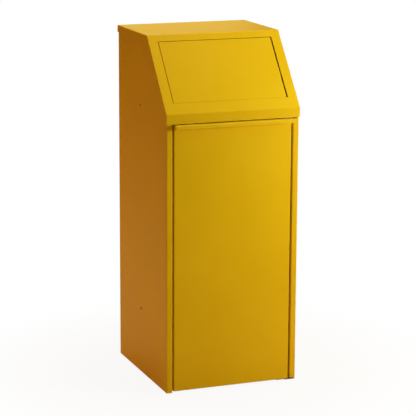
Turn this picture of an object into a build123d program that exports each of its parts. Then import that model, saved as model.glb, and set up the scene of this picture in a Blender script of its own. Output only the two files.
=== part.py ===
from build123d import *
import math
import os

# Free-standing sheet-steel collection bin: folded body, sloping hood with a self-closing
# push flap, side-hinged front door and a loose inner container. Millimetres, +Z up,
# front towards -Y. The origin is on the floor, under the middle of the overall box.

# ---- Driving sizes ----
total_height = 1000.0
body_width = 395.0
body_depth = 415.0
sheet = 1.5               # steel sheet of the body, hood, door and flap
bend_radius = 1.5         # bends, measured at the middle of the sheet
bracket_sheet = 2.0
foot_projection = 3.0     # the glides hold the sheet metal this far off the floor

# Body
post_face = 17.5          # front face beside the door opening
post_return = 22.0        # post's flange turned back into the body
rear_flange = 22.0        # flange that carries the back panel
top_flange = 17.0         # side panel's flange under the hood
back_clearance = 1.0      # round the back panel, clear of the bends
link_hole_radius = 3.25   # bolts a neighbouring unit side by side
link_hole_height = 195.0
link_hole_spacing = 600.0
link_hole_from_back = 195.0
rivet_radius = 2.0
rivet_count = 5           # up each rear flange
rivet_end = 40.0          # first and last rivet from the panel's visible ends
floor_height = 18.0       # top of the floor pan

# Hood
hood_clearance = 1.0      # hood's side play over the body
hood_rim = 20.0           # turned-down edge
slope_drop = 200.0        # height taken by the sloping front
slope_run = 162.0
apron_height = 26.0       # upright strip under the slope
opening_side_margin = 28.5
opening_top_margin = 22.0
opening_sill = 35.0       # hood left below the opening, along the slope
stud_radius = 2.5
stud_length = 12.0
stud_hole_play = 0.6      # lets the hood be lined up on its studs
stud_end = 40.0           # studs from the ends of the hood's top
nut_height = 4.0

# Flap
flap_side_gap = 3.5
flap_top_gap = 2.0
flap_sill_gap = 0.8
flap_edge_fold = 18.0
flap_tongue = 10.0        # strip tucked behind the sill
flap_joggle = 3.5         # step from the face to the tongue
stiffener_depth = 10.8
rod_radius = 3.0
rod_from_edge = 6.0       # rod's centre below the opening's top edge
rod_depth = 10.5          # rod's centre behind the flap's face
rod_end = 1.5             # rod beyond its clips
bush_wall = 1.5
bush_flange = 1.0
bush_proud = 0.6          # bush beyond its bracket
ear_half = 9.0            # hood bracket's ear, each way from the rod
clip_rim = 1.5            # retaining washer, beyond the rod
clip_thickness = 1.0
spring_wire = 1.6
spring_turns = 9
spring_play = 0.65        # inside the coil
spring_leg = 36.0
bumper_half = 12.0
bumper_place = 0.7        # bumpers' centres, as a share of half the flap's width

# Door
door_gap = 5.0            # each side of the door
door_top_gap = 4.0        # below the apron
door_bottom_gap = 4.0     # above the body's lower edge
door_fold = 15.0
lip_projection = 20.0     # full-width finger lip
lip_height = 11.0
door_channel_half = 25.0
door_channel_depth = 12.0
pivot_inset = 6.5         # pin's centre from the post's inner edge and from its face
pin_radius = 2.5
pivot_bush_wall = 1.0
pivot_bush_proud = 3.0    # upper bush beyond its bracket
arm_thickness = 2.0
arm_plate = 34.0          # welded part of each pivot arm
arm_leg = 36.0
arm_gap = 0.5             # between the pivot arms and what they turn beside
eye_wall = 2.0
notch_clearance = 1.2
bracket_leg = 22.0
lower_bracket_reach = 14.0   # lower bracket's tongue under the door

# Magnetic catch
catch_from_edge = 22.0    # from the door's free edge
catch_width = 46.0
catch_height = 15.0
catch_back = 3.0          # ahead of the header rail's rear edge
catch_wall = 2.5
catch_ear = 12.0          # screw ear at each end of the case
pole_sheet = 1.5
pole_proud = 1.0          # pole plates ahead of the case
screw_radius = 1.5
screw_head = 1.8
keeper_margin = 4.0

# Inner container
container_side_gap = 10.0
container_front_gap = 18.0
container_back_gap = 32.0
container_headroom = 110.0
container_sheet = 1.0
container_rim = 8.0
hand_hole_length = 110.0
hand_hole_height = 32.0
hand_hole_drop = 60.0     # below the container's top edge

# Glides
foot_radius = 15.0
foot_inset = 36.0
foot_column_radius = 8.0
foot_stem_radius = 4.0

# Fits
running_fit = 0.05        # radial, pin or rod in its bush
push_fit = 0.02           # radial, parts pressed or screwed together
touch_gap = 0.2           # parts that rest against each other but move apart

# ---- Places that follow ----
hood_overhang = hood_clearance + sheet
centre_y = (lip_projection - hood_overhang) / 2
front = centre_y - body_depth / 2
back = centre_y + body_depth / 2
half_width = body_width / 2
half_hood = half_width + hood_overhang
hood_front = front - hood_overhang
hood_back = back + hood_overhang
slope_foot = total_height - slope_drop
slope_top_y = hood_front + slope_run
apron_bottom = slope_foot - apron_height
slope_length = math.hypot(slope_run, slope_drop)
slope_in = (slope_drop / slope_length, -slope_run / slope_length)
post_edge = half_width - post_face
door_half = post_edge - door_gap
door_top = apron_bottom - door_top_gap
door_bottom = foot_projection + door_bottom_gap
half_opening = half_hood - opening_side_margin
opening_bottom = slope_length - opening_sill
flap_half = half_opening - flap_side_gap
flap_top = opening_top_margin + flap_top_gap
flap_face_end = opening_bottom - flap_sill_gap
tongue_end = flap_face_end + flap_tongue
rod_v = opening_top_margin + rod_from_edge
inner_wall = half_width - sheet
pivot_x = post_edge + pivot_inset
pivot_y = front + pivot_inset
eye_radius = pin_radius + eye_wall
top_arm_z = door_top + arm_gap
bottom_arm_z = door_bottom - arm_thickness
bend_clear = bend_radius - sheet / 2 + running_fit   # keeps square corners out of a bend
header_bottom = apron_bottom + sheet
stud_x = inner_wall - top_flange / 2
stud_rows = (slope_top_y + stud_end, back - stud_end)
ear_inner = half_opening + sheet * 1.5
ear_outer = ear_inner + bracket_sheet
bush_outer = ear_outer + bush_proud
clip_inner = bush_outer + touch_gap
clip_outer = clip_inner + clip_thickness
arm_root = door_half - sheet - bend_radius
top_bracket_z = top_arm_z + arm_thickness + arm_gap + bush_flange
top_bush_top = top_bracket_z + bracket_sheet + pivot_bush_proud
catch_x = (catch_from_edge - door_half, catch_from_edge - door_half + catch_width)
catch_y = (front + sheet * 2 + touch_gap, front + post_return - catch_back)
catch_z = (header_bottom - catch_height, header_bottom)
magnet_x = (catch_x[0] + catch_ear, catch_x[1] - catch_ear)
magnet_z = (catch_z[0] + catch_wall, catch_z[1] - catch_wall)

# Lies in the hood's sloping face: +Y runs up the slope, +Z points out of it.
slope = Plane(
    origin=(0, slope_top_y, total_height),
    x_dir=(1, 0, 0),
    z_dir=(0, -slope_in[0], -slope_in[1]),
)


def block(x, y, z):
    """Box between two coordinates on each axis."""
    size = [abs(pair[1] - pair[0]) for pair in (x, y, z)]
    middle = [(pair[0] + pair[1]) / 2 for pair in (x, y, z)]
    return Pos(*middle) * Box(*size)


def rod_between(start, end, radius):
    """Round bar from one point to another."""
    axis = Vector(*end) - Vector(*start)
    return Plane(origin=start, z_dir=axis) * Cylinder(
        radius, axis.length, align=(Align.CENTER, Align.CENTER, Align.MIN)
    )


def folded(*points):
    """Section of a folded sheet whose middle follows the points."""
    return trace(FilletPolyline(*points, radius=bend_radius), line_width=sheet)


def along_x(section, half_length):
    """Section drawn in the upright Y-Z plane, made into a part centred on X = 0."""
    return extrude(Plane.YZ * section, half_length, both=True)


def hood_corner(corner_y, corner_z, side_a, side_b, inset):
    """Corner of the hood's outline, moved in by the inset between its two sides."""
    share = inset / (1 + side_a[0] * side_b[0] + side_a[1] * side_b[1])
    return (corner_y + (side_a[0] + side_b[0]) * share,
            corner_z + (side_a[1] + side_b[1]) * share)


def hood_top_front(inset):
    return hood_corner(slope_top_y, total_height, (0, -1), slope_in, inset)


def hood_slope_foot(inset):
    return hood_corner(hood_front, slope_foot, slope_in, (1, 0), inset)


def slope_height(y, inset):
    """Height of the slope's line, moved in by the inset, above a depth Y."""
    corner = hood_top_front(inset)
    return corner[1] + (y - corner[0]) * slope_drop / slope_run


def both_sides(shape):
    """The shape and its mirror image, left and right."""
    return shape + mirror(shape, about=Plane.YZ)


# ---- Body ----
def side_panel():
    """Right side panel: rear flange, side, post face and post return, with a flange along
    the top and the slope, where the hood rests and the flap brackets are welded."""
    wall = folded(
        (half_width - rear_flange, back - sheet / 2),
        (half_width - sheet / 2, back - sheet / 2),
        (half_width - sheet / 2, front + sheet / 2),
        (post_edge + sheet / 2, front + sheet / 2),
        (post_edge + sheet / 2, front + post_return),
    )
    upright = Pos(0, 0, foot_projection) * extrude(wall, total_height)
    edge_inset = sheet * 1.5
    past = 5 * sheet
    outline = make_face(Polyline(
        (front - past, 0),
        (front - past, slope_height(front - past, edge_inset)),
        hood_top_front(edge_inset),
        (back + past, total_height - edge_inset),
        (back + past, 0),
        close=True,
    ))
    upright &= along_x(outline, body_width)
    flange_front = front + post_return + sheet
    flange = folded(
        (back - sheet, total_height - edge_inset),
        hood_top_front(edge_inset),
        (flange_front, slope_height(flange_front, edge_inset)),
    )
    flange = extrude(Plane.YZ * flange, top_flange + sheet / 2)
    panel = upright + Pos(inner_wall - top_flange, 0, 0) * flange
    for z in (link_hole_height, link_hole_height + link_hole_spacing):
        start = (half_width - 2 * sheet, back - link_hole_from_back, z)
        end = (half_width + sheet, back - link_hole_from_back, z)
        panel -= rod_between(start, end, link_hole_radius)
    for y in stud_rows:
        panel -= Pos(stud_x, y, total_height) * Cylinder(stud_radius + stud_hole_play, 6 * sheet)
    return panel


def hinge_notches():
    """Windows in the right post's inner corner that the pivot arms swing through."""
    reach = pivot_x + eye_radius + arm_gap / 2
    top = block((post_edge - sheet, reach), (front - sheet, pivot_y + eye_radius + notch_clearance),
                (top_arm_z - notch_clearance, top_arm_z + arm_thickness + notch_clearance))
    bottom = block((post_edge - sheet, reach), (front - sheet, front + post_return + sheet),
                   (0, bottom_arm_z + arm_thickness + notch_clearance))
    return top + bottom


def back_panel():
    half = inner_wall - back_clearance
    return block((-half, half), (back - 2 * sheet, back - sheet),
                 (foot_projection, total_height - 2 * sheet - back_clearance))


def back_rivet_places():
    """Rivets up both rear flanges, at even heights."""
    x = half_width - rear_flange / 2
    low = foot_projection + rivet_end
    high = total_height - hood_rim - rivet_end
    heights = [low + (high - low) * i / (rivet_count - 1) for i in range(rivet_count)]
    return [(side * x, z) for side in (-1, 1) for z in heights]


def back_rivets():
    rivets = []
    for x, z in back_rivet_places():
        shank = rod_between((x, back - 4 * sheet, z), (x, back, z), rivet_radius)
        head = rod_between((x, back, z), (x, back + rivet_radius / 2, z), rivet_radius * 2)
        rivets.append(shank + head)
    return rivets


def rivet_holes():
    holes = Part()
    for x, z in back_rivet_places():
        holes += rod_between((x, back - 4 * sheet, z), (x, back + sheet, z), rivet_radius + push_fit)
    return holes


def foot_places():
    x = inner_wall - foot_inset
    return {
        "foot_front_left": (-x, front + post_return + foot_inset),
        "foot_front_right": (x, front + post_return + foot_inset),
        "foot_rear_left": (-x, back - foot_inset),
        "foot_rear_right": (x, back - foot_inset),
    }


def floor_pan():
    """Shelf with turned-down flanges, spot-welded between the side panels."""
    low = foot_projection + sheet
    top = floor_height - sheet / 2
    half = inner_wall - sheet / 2
    start = front + post_return + sheet
    end = back - 2 * sheet
    tray = extrude(Plane.XZ * folded((-half, low), (-half, top), (half, top), (half, low)), -(end - start))
    pan = Pos(0, start, 0) * tray
    for y in (start, end - sheet):
        pan += block((-inner_wall, inner_wall), (y, y + sheet), (low, top))
    for x, y in foot_places().values():
        pan -= Pos(x, y, floor_height) * Cylinder(foot_stem_radius + push_fit, 4 * sheet)
    return pan


def foot(x, y):
    """Plastic glide: round pad, column up to the floor pan and a stem pushed through it."""
    under = floor_height - sheet
    pad = rod_between((x, y, 0), (x, y, foot_projection + sheet), foot_radius)
    pad = fillet(pad.edges().group_by(Axis.Z)[0], sheet / 2)
    column = rod_between((x, y, foot_projection), (x, y, under), foot_column_radius)
    stem = rod_between((x, y, under), (x, y, under + sheet), foot_stem_radius)
    return pad + column + stem


def header_rail():
    """Folded rail between the posts behind the apron, spot-welded to their returns."""
    low = header_bottom + sheet / 2
    high = slope_foot - 2 * sheet
    section = folded(
        (front + post_return + sheet, low),
        (front + sheet / 2, low),
        (front + sheet / 2, high),
    )
    return along_x(section, post_edge)


# ---- Hood ----
def hood():
    half = sheet / 2
    top_front = hood_top_front(half)
    skin = along_x(folded(
        (hood_back - half, total_height - hood_rim),
        (hood_back - half, total_height - half),
        top_front,
        hood_slope_foot(half),
        (hood_front + half, apron_bottom),
    ), half_hood - half)
    rim = make_face(Polyline(
        (hood_back - half, total_height - hood_rim),
        (hood_back - half, total_height - half),
        top_front,
        hood_slope_foot(half),
        (hood_front + half, apron_bottom),
        (hood_front + hood_rim, apron_bottom),
        hood_slope_foot(hood_rim),
        hood_top_front(hood_rim),
        close=True,
    ))
    side = Pos(half_hood - sheet, 0, 0) * extrude(Plane.YZ * rim, sheet)
    opening = slope * block(
        (-half_opening, half_opening), (-opening_bottom, -opening_top_margin), (-3 * sheet, 3 * sheet)
    )
    return skin + both_sides(side) - opening


def hood_studs():
    """Weld studs under the hood's top, one in each flange hole of the side panels."""
    under = total_height - sheet
    return [rod_between((x, y, under - stud_length), (x, y, under), stud_radius)
            for x in (-stud_x, stud_x) for y in stud_rows]


def hood_nuts():
    """Flanged hexagon nuts under the side panels' top flanges."""
    seat = total_height - 2 * sheet
    nuts = []
    for x in (-stud_x, stud_x):
        for y in stud_rows:
            washer = Pos(x, y, seat - sheet / 2) * Cylinder(stud_radius * 2.3, sheet)
            body = extrude(Pos(x, y, seat - sheet) * RegularPolygon(stud_radius * 1.85, 6), -nut_height)
            bore = Pos(x, y, seat) * Cylinder(stud_radius + push_fit, stud_length * 2)
            nuts.append(washer + body - bore)
    return nuts


# ---- Flap ----
def flap_panel():
    """Face with folded sides, and a tongue along the bottom that tucks behind the sill."""
    half = sheet / 2
    across = folded(
        (-flap_half + half, -flap_edge_fold),
        (-flap_half + half, -half),
        (flap_half - half, -half),
        (flap_half - half, -flap_edge_fold),
    )
    web = flap_face_end - half
    tray_length = web - bend_radius - flap_top
    tray = slope * (Pos(0, -flap_top, 0) * (Plane.XZ * extrude(across, tray_length)))
    down = folded(
        (-(web - 3 * bend_radius), -half),
        (-web, -half),
        (-web, -half - flap_joggle),
        (-tongue_end, -half - flap_joggle),
    )
    foot_strip = slope * along_x(down, flap_half - half)
    return tray + foot_strip - on_rod(-half_hood, half_hood, rod_radius + push_fit)


def flap_stiffener():
    """Shallow channel across the inside of the flap."""
    half = flap_half - sheet - bend_radius * 2
    depth = stiffener_depth
    middle = rod_v + (flap_face_end - rod_v) * 3 / 4
    section = folded(
        (-middle - depth * 1.5, -sheet * 1.5),
        (-middle - depth, -sheet * 1.5),
        (-middle - depth, -depth),
        (-middle + depth, -depth),
        (-middle + depth, -sheet * 1.5),
        (-middle + depth * 1.5, -sheet * 1.5),
    )
    return slope * along_x(section, half)


def on_rod(x_start, x_end, radius):
    """Round bar on the flap's hinge line."""
    length = x_end - x_start
    return slope * (Pos((x_start + x_end) / 2, -rod_v, -rod_depth) * Rot(0, 90, 0) * Cylinder(radius, length))


def hinge_rod():
    return on_rod(-clip_outer - rod_end, clip_outer + rod_end, rod_radius)


def rod_clip():
    """Push-on retaining washer outside the right bracket."""
    hole = on_rod(clip_inner, clip_outer, rod_radius + push_fit)
    return on_rod(clip_inner, clip_outer, rod_radius + clip_rim) - hole


def flap_bracket():
    """Right bracket: a foot welded under the side panel's slope flange and an ear for the bush."""
    under = -2 * sheet
    foot_end = inner_wall - 2 * sheet
    rows = (-rod_v - ear_half, -rod_v + ear_half)
    ear = block((ear_inner, ear_outer), rows, (-rod_depth - ear_half * 0.8, under))
    foot_plate = block((ear_inner, foot_end), rows, (under - bracket_sheet, under))
    hole = Pos(ear_inner, -rod_v, -rod_depth) * Rot(0, 90, 0) * Cylinder(
        rod_radius + bush_wall + push_fit, 4 * bracket_sheet)
    return slope * (ear + foot_plate - hole)


def flap_bush():
    """Flanged nylon bush in the right bracket."""
    sleeve = on_rod(ear_inner, bush_outer, rod_radius + bush_wall)
    flange = on_rod(ear_inner - bush_flange, ear_inner, rod_radius + bush_wall * 2)
    return sleeve + flange - on_rod(ear_inner - 2 * bush_flange, bush_outer + sheet, rod_radius + running_fit)


def flap_spring():
    """Right torsion spring round the rod: the coil as a sleeve, one leg pressing on the flap
    and one on the hood above the opening."""
    coil_inner = rod_radius + spring_play
    coil_outer = coil_inner + spring_wire
    length = spring_wire * spring_turns
    end = flap_half - sheet - bend_radius * 2
    coil = on_rod(end - length, end, coil_outer) - on_rod(end - length - 1, end + 1, coil_inner)
    wire = spring_wire / 2
    leg_z = -sheet - touch_gap / 2 - wire
    moving_x = end - length + wire
    moving = rod_between((moving_x, -rod_v, leg_z), (moving_x, -rod_v - spring_leg, leg_z), wire)
    fixed_x = end - wire
    fixed = rod_between((fixed_x, -rod_v, leg_z), (fixed_x, -wire * 6, leg_z), wire)
    join = [block((x - wire, x + wire), (-rod_v - wire, -rod_v + wire),
                  (-rod_depth + coil_inner + wire / 2, leg_z)) for x in (moving_x, fixed_x)]
    return coil + slope * (moving + fixed + join[0] + join[1])


def flap_bumpers():
    """Two rubber pads behind the sill that the flap's tongue closes against."""
    thickness = flap_joggle - sheet - touch_gap
    row = (-tongue_end + sheet, -opening_bottom - sheet)
    depth = (-sheet - thickness, -sheet)
    places = (-flap_half * bumper_place, flap_half * bumper_place)
    return [slope * block((x - bumper_half, x + bumper_half), row, depth) for x in places]


# ---- Door ----
def door_panel():
    """Door skin: face with side and bottom folds, its top turned out into the finger lip."""
    half = sheet / 2
    plan = folded(
        (-door_half + half, front + door_fold),
        (-door_half + half, front + half),
        (door_half - half, front + half),
        (door_half - half, front + door_fold),
    )
    walls = Pos(0, 0, door_bottom) * extrude(plan, door_top - door_bottom - bend_radius - half)
    lip = folded(
        (front + half, door_top - bend_radius * 3),
        (front + half, door_top - half),
        (front - lip_projection + half, door_top - half),
        (front - lip_projection + half, door_top - lip_height),
    )
    bottom = folded(
        (front + half, door_bottom + bend_radius * 3),
        (front + half, door_bottom + half),
        (front + door_fold, door_bottom + half),
    )
    return walls + along_x(lip, door_half) + along_x(bottom, door_half - sheet)


def door_stiffener():
    """Upright top-hat channel welded down the middle of the door's inside."""
    depth = door_channel_depth
    half = door_channel_half
    face = front + sheet * 1.5
    section = folded(
        (-half * 1.6, face),
        (-half, face),
        (-half, face + depth),
        (half, face + depth),
        (half, face),
        (half * 1.6, face),
    )
    low = door_bottom + door_fold * 2
    return Pos(0, 0, low) * extrude(section, door_top - door_fold * 2 - low)


def pivot_arm(z, plate_back):
    """Flat arm from the door's corner to an eye on the pivot line."""
    eye = Pos(pivot_x, pivot_y, z + arm_thickness / 2) * Cylinder(eye_radius, arm_thickness)
    neck = block((arm_root, pivot_x), (pivot_y - pin_radius, pivot_y + pin_radius), (z, z + arm_thickness))
    plate = block((arm_root - arm_plate, arm_root), (front + sheet, plate_back), (z, z + arm_thickness))
    return plate + neck + eye


def pin_hole(z, radius):
    return Pos(pivot_x, pivot_y, z) * Cylinder(radius, 8 * arm_thickness)


def top_pivot_arm():
    """Upper arm, with a leg welded down the inside of the door's face."""
    arm = pivot_arm(top_arm_z, front + door_fold)
    leg = block((arm_root - arm_plate, arm_root), (front + sheet, front + sheet + arm_thickness),
                (top_arm_z - arm_leg, top_arm_z + arm_thickness))
    return arm + leg - pin_hole(top_arm_z, pin_radius + push_fit)


def bottom_pivot_arm():
    """Lower arm, welded under the door's bottom fold."""
    return pivot_arm(bottom_arm_z, front + door_fold) - pin_hole(bottom_arm_z, pin_radius + running_fit)


def top_pivot_pin():
    """Pin fixed in the upper arm, turning in the bush above it."""
    return rod_between((pivot_x, pivot_y, top_arm_z), (pivot_x, pivot_y, top_bush_top), pin_radius)


def top_pivot_bush():
    """Flanged nylon bush pushed up into the upper bracket."""
    def tube(low, high, radius):
        return rod_between((pivot_x, pivot_y, low), (pivot_x, pivot_y, high), radius)
    body = tube(top_bracket_z, top_bush_top, pin_radius + pivot_bush_wall)
    flange = tube(top_bracket_z - bush_flange, top_bracket_z, eye_radius - touch_gap)
    return body + flange - tube(top_arm_z, top_bush_top + sheet, pin_radius + running_fit)


def top_pivot_bracket():
    """Angle inside the right post, welded to the side panel, that holds the upper bush."""
    x = (post_edge + sheet + bend_clear, inner_wall)
    y = (front + sheet + bend_clear, front + post_return)
    shelf = block(x, y, (top_bracket_z, top_bracket_z + bracket_sheet))
    leg = block((inner_wall - bracket_sheet, inner_wall), y, (top_bracket_z, top_bracket_z + bracket_leg))
    hole = rod_between((pivot_x, pivot_y, top_arm_z), (pivot_x, pivot_y, top_bush_top),
                       pin_radius + pivot_bush_wall + push_fit)
    return shelf + leg - hole


def bottom_pivot_bracket():
    """Angle at the foot of the right post, welded to the side panel, that carries the lower pin."""
    x = (post_edge - lower_bracket_reach, inner_wall)
    y = (front + sheet + bend_clear, front + post_return)
    shelf = block(x, y, (foot_projection, foot_projection + sheet))
    leg = block((inner_wall - bracket_sheet, inner_wall), y, (foot_projection, foot_projection + bracket_leg))
    hole = rod_between((pivot_x, pivot_y, 0), (pivot_x, pivot_y, door_bottom), pin_radius + push_fit)
    return shelf + leg - hole


def bottom_pivot_pin():
    """Pin riveted in the lower bracket, standing up through the lower arm."""
    top = bottom_arm_z + arm_thickness + sheet
    return rod_between((pivot_x, pivot_y, foot_projection), (pivot_x, pivot_y, top), pin_radius)


def thrust_washer():
    """Nylon washer that the lower arm turns on."""
    low = foot_projection + sheet
    def tube(radius):
        return rod_between((pivot_x, pivot_y, low), (pivot_x, pivot_y, bottom_arm_z), radius)
    return tube(eye_radius - touch_gap) - tube(pin_radius + running_fit)


# ---- Magnetic catch at the door's free top corner ----
def magnet_case():
    """Plastic housing under the header rail, open to the front round the magnet."""
    case = block(catch_x, (catch_y[0] + pole_proud, catch_y[1]), catch_z)
    pocket = block(magnet_x, (catch_y[0], catch_y[1] - catch_wall), magnet_z)
    return case - pocket - catch_screw_holes()


def catch_screw_spots():
    y = (catch_y[0] + pole_proud + catch_y[1]) / 2
    return [(catch_x[0] + catch_ear / 2, y), (catch_x[1] - catch_ear / 2, y)]


def catch_screw_holes():
    holes = Part()
    top = header_bottom + 3 * sheet
    for x, y in catch_screw_spots():
        holes += rod_between((x, y, catch_z[0] - sheet), (x, y, top), screw_radius + push_fit)
    return holes


def catch_screws():
    screws = []
    for x, y in catch_screw_spots():
        shank = rod_between((x, y, catch_z[0]), (x, y, header_bottom + 2 * sheet), screw_radius)
        head = rod_between((x, y, catch_z[0] - screw_head), (x, y, catch_z[0]), screw_radius * 2)
        screws.append(shank + head)
    return screws


def magnet():
    return block(magnet_x, (catch_y[0] + 2 * pole_proud, catch_y[1] - catch_wall),
                 (magnet_z[0] + pole_sheet, magnet_z[1] - pole_sheet))


def pole_plates():
    """Steel plates above and below the magnet that touch the keeper first."""
    y = (catch_y[0], catch_y[1] - catch_wall)
    return [block(magnet_x, y, (magnet_z[0], magnet_z[0] + pole_sheet)),
            block(magnet_x, y, (magnet_z[1] - pole_sheet, magnet_z[1]))]


def keeper_plate():
    """Steel strip on the inside of the door, facing the magnet."""
    return block((catch_x[0] + keeper_margin, catch_x[1] - keeper_margin), (front + sheet, front + 2 * sheet),
                 (catch_z[0] - keeper_margin, door_top - lip_height / 2))


# ---- Inner container ----
def inner_container():
    """Open-topped steel liner with an outward rim and a hand hole in each side."""
    half = door_half - container_side_gap
    y = (front + post_return + container_front_gap, back - container_back_gap)
    z = (floor_height, door_top - container_headroom)
    t = container_sheet
    shell = block((-half, half), y, z)
    shell -= block((-half + t, half - t), (y[0] + t, y[1] - t), (floor_height + t, z[1] + 1))
    rim = block((-half - container_rim / 2, half + container_rim / 2),
                (y[0] - container_rim / 2, y[1] + container_rim / 2), (z[1] - container_rim, z[1]))
    rim -= block((-half, half), y, (z[1] - 2 * container_rim, z[1] + 1))
    slot = SlotOverall(hand_hole_length, hand_hole_height)
    hand_hole = Pos(0, (y[0] + y[1]) / 2, z[1] - hand_hole_drop) * along_x(slot, half + container_rim)
    return shell + rim - hand_hole


right_side = side_panel()
left_side = mirror(right_side, about=Plane.YZ)
holes_for_rivets = rivet_holes()

parts = {
    "left_side_panel": left_side - holes_for_rivets,
    "right_side_panel": right_side - hinge_notches() - holes_for_rivets,
    "back_panel": back_panel() - holes_for_rivets,
    "back_rivets": back_rivets(),
    "floor_pan": floor_pan(),
    "header_rail": header_rail() - catch_screw_holes(),
    "hood": hood(),
    "hood_studs": hood_studs(),
    "hood_nuts": hood_nuts(),
    "flap_panel": flap_panel(),
    "flap_stiffener": flap_stiffener(),
    "hinge_rod": hinge_rod(),
    "flap_bumpers": flap_bumpers(),
    "door_panel": door_panel(),
    "door_stiffener": door_stiffener(),
    "top_pivot_arm": top_pivot_arm(),
    "top_pivot_pin": top_pivot_pin(),
    "top_pivot_bush": top_pivot_bush(),
    "top_pivot_bracket": top_pivot_bracket(),
    "bottom_pivot_arm": bottom_pivot_arm(),
    "bottom_pivot_bracket": bottom_pivot_bracket(),
    "bottom_pivot_pin": bottom_pivot_pin(),
    "thrust_washer": thrust_washer(),
    "magnet_case": magnet_case(),
    "magnet": magnet(),
    "pole_plates": pole_plates(),
    "catch_screws": catch_screws(),
    "keeper_plate": keeper_plate(),
    "inner_container": inner_container(),
}
for name, place in foot_places().items():
    parts[name] = foot(*place)
for name, shape in {
    "flap_bracket": flap_bracket(),
    "flap_bush": flap_bush(),
    "flap_spring": flap_spring(),
    "rod_clip": rod_clip(),
}.items():
    parts[name + "_right"] = shape
    parts[name + "_left"] = mirror(shape, about=Plane.YZ)

os.makedirs("parts", exist_ok=True)
for name, shape in parts.items():
    solids = shape if isinstance(shape, list) else shape.solids()
    shape = solids[0] if len(solids) == 1 else Compound(children=list(solids))
    shape.label = name
    export_step(shape, "parts/" + name + ".step")
print(len(parts), "sub-parts")
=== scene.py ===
import bmesh
import bpy
import math
from mathutils import Matrix, Vector


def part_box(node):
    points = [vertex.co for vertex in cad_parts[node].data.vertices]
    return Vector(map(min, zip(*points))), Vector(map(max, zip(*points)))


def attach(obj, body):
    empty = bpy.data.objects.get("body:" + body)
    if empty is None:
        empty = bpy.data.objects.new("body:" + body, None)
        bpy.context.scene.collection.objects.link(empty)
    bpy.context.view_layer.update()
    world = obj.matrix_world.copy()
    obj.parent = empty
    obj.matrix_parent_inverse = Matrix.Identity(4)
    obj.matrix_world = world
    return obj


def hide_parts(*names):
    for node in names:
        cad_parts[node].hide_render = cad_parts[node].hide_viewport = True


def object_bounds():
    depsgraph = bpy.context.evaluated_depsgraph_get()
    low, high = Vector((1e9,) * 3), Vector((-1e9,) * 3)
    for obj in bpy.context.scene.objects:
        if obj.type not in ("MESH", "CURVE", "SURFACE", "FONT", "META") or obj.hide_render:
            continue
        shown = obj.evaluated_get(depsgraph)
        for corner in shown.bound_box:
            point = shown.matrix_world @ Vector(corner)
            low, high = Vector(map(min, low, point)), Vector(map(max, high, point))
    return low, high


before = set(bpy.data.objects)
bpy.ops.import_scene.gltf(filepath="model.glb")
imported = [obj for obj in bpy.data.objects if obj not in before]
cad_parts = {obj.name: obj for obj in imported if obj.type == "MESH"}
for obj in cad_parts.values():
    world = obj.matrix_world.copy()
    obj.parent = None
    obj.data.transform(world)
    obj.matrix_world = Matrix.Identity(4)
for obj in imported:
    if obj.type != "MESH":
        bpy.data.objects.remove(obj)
cad_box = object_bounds()
scene = bpy.context.scene
scene.view_settings.view_transform = "Standard"

# ---- Camera ----
# A long lens stands a little above the bin's lid and to its left, so that the front, the left
# side and a sliver of the lid are seen together.
mm = 0.001
aim, distance = Vector((1.7, 0.0, 483.47)) * mm, 5.2314
turn, tilt, roll = math.radians(21.141), math.radians(12.617), math.radians(0.283)
sight = Vector((math.sin(turn) * math.cos(tilt), math.cos(turn) * math.cos(tilt), -math.sin(tilt)))
level = Vector((math.cos(turn), -math.sin(turn), 0.0))
upright = level.cross(sight)
across = level * math.cos(roll) + upright * math.sin(roll)
upright = upright * math.cos(roll) - level * math.sin(roll)
camera = bpy.data.objects.new("camera", bpy.data.cameras.new("camera"))
scene.collection.objects.link(camera)
camera.data.lens, camera.data.sensor_width = 155.77, 36.0
camera.data.clip_start, camera.data.clip_end = 0.1, 100.0
pose = Matrix((across, upright, -sight)).transposed().to_4x4()
pose.translation = aim - sight * distance
camera.matrix_world = pose
scene.camera = camera

# ---- Side panels ----
# Each side of the body is one sheet of 1.5 mm steel. A folding press turns its front edge in twice
# as the post beside the door, its rear edge in to carry the back, and a flange along its top and
# slope. Bolts through two holes link neighbouring bins. The steel is powder coated after folding.
sheet = 1.5 * mm
bend = 1.5 * mm             # measured at the middle of the sheet
lid_top = cad_box[1].z
side_low, side_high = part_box("right_side_panel")       # low and high corners of the CAD's panel
half_width, front, back, side_foot = side_high.x, side_low.y, side_high.y, side_low.z
inside = half_width - sheet
post_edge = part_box("header_rail")[1].x
post_return, rear_flange, top_flange = 22 * mm, 22 * mm, 17 * mm
hood_low, hood_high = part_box("hood")
slope_run, slope_drop = 162 * mm, 200 * mm
slope_top = hood_low.y + slope_run
slope_long = math.hypot(slope_run, slope_drop)
slope_in = (slope_drop / slope_long, -slope_run / slope_long)
link_hole, link_hole_y = 4.0 * mm, back - 195 * mm
link_hole_heights = (195 * mm, 795 * mm)
stud_x = inside - top_flange / 2
stud_rows = (slope_top + 40 * mm, back - 40 * mm)
pin_x, pin_y = (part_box("top_pivot_pin")[0].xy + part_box("top_pivot_pin")[1].xy) / 2
eye = 4.5 * mm
eye_reach = eye + 0.25 * mm
stud_hole = 3.1 * mm
same_point, same_plane = 2e-6, math.radians(0.3)
sharp = math.radians(32)


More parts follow.
